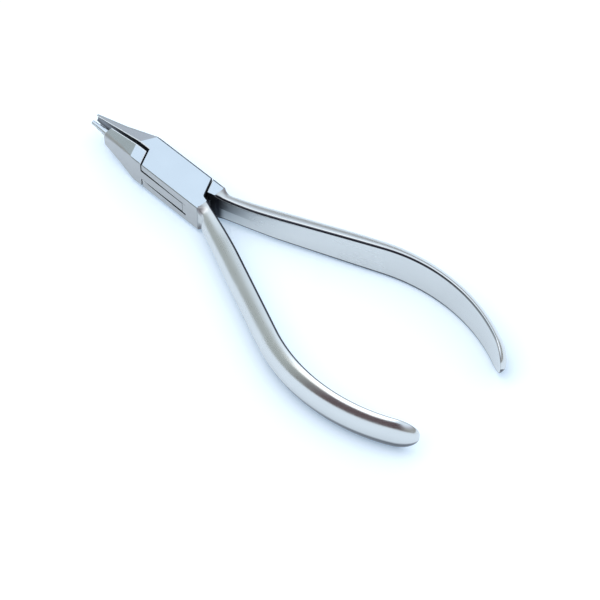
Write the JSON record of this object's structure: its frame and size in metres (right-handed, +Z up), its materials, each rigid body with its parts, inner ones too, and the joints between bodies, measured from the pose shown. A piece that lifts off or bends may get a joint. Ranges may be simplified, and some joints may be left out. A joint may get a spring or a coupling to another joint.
{
  "type": "orthodontic loop-forming pliers",
  "caption": "Polished steel hand pliers with a box joint, long curved handles, one stepped round jaw and one hollowed tapering jaw, for bending loops in orthodontic wire.",
  "frame": {"origin": "on the pivot axis, at the lower face of the joint", "axes": "+X along the tool to the jaw tips, +Y to the side of the stepped jaw, +Z up along the pivot pin"},
  "size_m": [0.1294, 0.0506, 0.0106],
  "materials": {
    "polished_steel": "polished",
    "pin_steel": "ground flush"
  },
  "bodies": {
    "box_side": {"box_half": "polished_steel", "pivot_pin": "pin_steel"},
    "through_side": {"through_half": "polished_steel"}
  },
  "joints": [
    {"name": "pivot", "type": "hinge", "parent": "box_side", "child": "through_side", "pos_m": [0, 0, 0.0041], "axis": [0, 0, 1], "range_deg": [-1.5, 18]}
  ]
}
